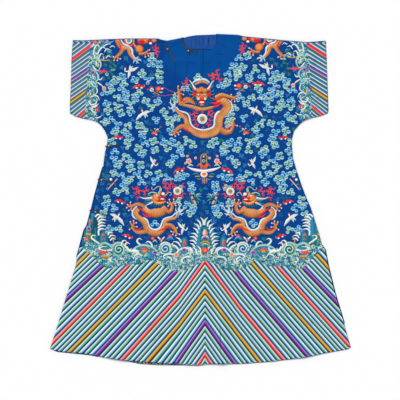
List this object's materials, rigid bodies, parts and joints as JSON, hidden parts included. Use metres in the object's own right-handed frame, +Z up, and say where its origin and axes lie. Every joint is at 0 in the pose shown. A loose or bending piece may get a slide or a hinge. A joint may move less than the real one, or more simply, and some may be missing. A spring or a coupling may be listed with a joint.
{
  "type": "chinese dragon robe",
  "caption": "Embroidered dragon robe laid flat, front up: side-closing overlap, short striped sleeves, flared striped skirt, corded toggles with brass balls.",
  "frame": {"origin": "middle of the outline's box, on the surface that the robe lies on", "axes": "+X to the wearer's left, +Y from hem to neck, +Z up out of the front"},
  "size_m": [1.233, 1.3596, 0.0157],
  "materials": {
    "embroidered_silk": "royal blue satin silk with dense silk floss embroidery",
    "lining_silk": "lighter blue plain silk, gathered",
    "binding_silk": "navy silk",
    "cord": "dark olive brown corded silk",
    "button": "worn polished brass"
  },
  "bodies": {
    "root": {"left_length": "embroidered_silk", "right_length": "embroidered_silk", "overlap_front": "embroidered_silk", "neck_lining": "lining_silk", "right_side_binding": "binding_silk", "left_side_binding": "binding_silk", "hem_binding": "binding_silk", "toggle_1_loop": "cord", "toggle_1_button": "button", "toggle_1_strap": "cord", "toggle_2_loop": "cord", "toggle_2_button": "button", "toggle_2_strap": "cord", "toggle_3_loop": "cord", "toggle_3_button": "button", "toggle_3_strap": "cord", "toggle_4_loop": "cord", "toggle_4_button": "button", "toggle_4_strap": "cord", "toggle_5_loop": "cord", "toggle_5_button": "button", "toggle_5_strap": "cord"}
  },
  "joints": []
}
